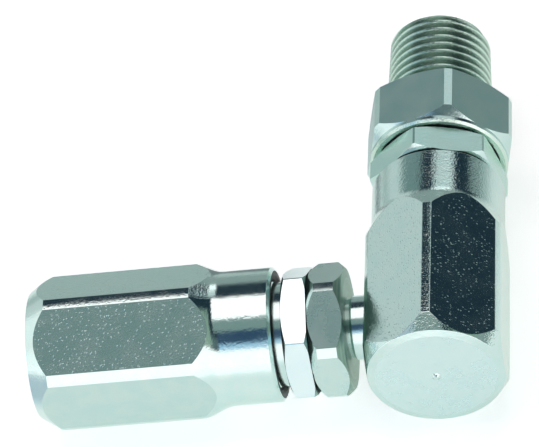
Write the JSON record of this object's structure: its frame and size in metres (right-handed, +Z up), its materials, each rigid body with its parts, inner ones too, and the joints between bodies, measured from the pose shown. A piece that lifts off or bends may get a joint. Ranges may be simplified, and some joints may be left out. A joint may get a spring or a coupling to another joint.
{
  "type": "grease hose swivel",
  "caption": "Right-angle grease hose swivel: a hexagon elbow and a hexagon inlet barrel that turn on ball races, with a taper male thread.",
  "frame": {"origin": "centre of the bounding box, on the surface the fitting lies on", "axes": "+Y along the elbow's axis towards the taper thread, -X along the inlet arm away from the elbow, +Z up from the surface"},
  "size_m": [0.0597, 0.0558, 0.0193],
  "materials": {
    "zinc_plate": "bright zinc plating with a faint blue-green cast",
    "washer_steel": "plain turned steel",
    "ball_steel": "polished bearing steel",
    "backup_plastic": "white plastic backup ring",
    "seal_rubber": "black nitrile rubber"
  },
  "bodies": {
    "elbow": {"elbow_body": "zinc_plate", "elbow_gland_nut": "zinc_plate", "link_stem": "zinc_plate", "outlet_support_washer": "washer_steel", "outlet_backup_ring": "backup_plastic", "outlet_oring": "seal_rubber"},
    "outlet": {"outlet_stem": "zinc_plate"},
    "inlet": {"inlet_body": "zinc_plate", "inlet_gland_nut": "zinc_plate", "inlet_support_washer": "washer_steel", "inlet_backup_ring": "backup_plastic", "inlet_oring": "seal_rubber"},
    "outlet_ball_ring": {"outlet_ball_01": "ball_steel", "outlet_ball_02": "ball_steel", "outlet_ball_03": "ball_steel", "outlet_ball_04": "ball_steel", "outlet_ball_05": "ball_steel", "outlet_ball_06": "ball_steel", "outlet_ball_07": "ball_steel", "outlet_ball_08": "ball_steel", "outlet_ball_09": "ball_steel", "outlet_ball_10": "ball_steel"},
    "inlet_ball_ring": {"inlet_ball_01": "ball_steel", "inlet_ball_02": "ball_steel", "inlet_ball_03": "ball_steel", "inlet_ball_04": "ball_steel", "inlet_ball_05": "ball_steel", "inlet_ball_06": "ball_steel", "inlet_ball_07": "ball_steel", "inlet_ball_08": "ball_steel", "inlet_ball_09": "ball_steel", "inlet_ball_10": "ball_steel"}
  },
  "joints": [
    {"name": "outlet_swivel", "type": "hinge", "parent": "elbow", "child": "outlet", "pos_m": [0.02054, -0.00353, 0.00965], "axis": [0, 1, 0], "continuous": true},
    {"name": "outlet_ball_orbit", "type": "hinge", "parent": "elbow", "child": "outlet_ball_ring", "pos_m": [0.02054, -0.00353, 0.00965], "axis": [0, 1, 0], "continuous": true},
    {"name": "inlet_swivel", "type": "hinge", "parent": "elbow", "child": "inlet", "pos_m": [-0.00406, -0.0189, 0.00965], "axis": [-1, 0, 0], "continuous": true},
    {"name": "inlet_ball_orbit", "type": "hinge", "parent": "elbow", "child": "inlet_ball_ring", "pos_m": [-0.00406, -0.0189, 0.00965], "axis": [-1, 0, 0], "continuous": true}
  ],
  "couplings": [
    {"joint": "outlet_ball_orbit", "follows": "outlet_swivel", "ratio": 0.3929},
    {"joint": "inlet_ball_orbit", "follows": "inlet_swivel", "ratio": 0.6071}
  ]
}
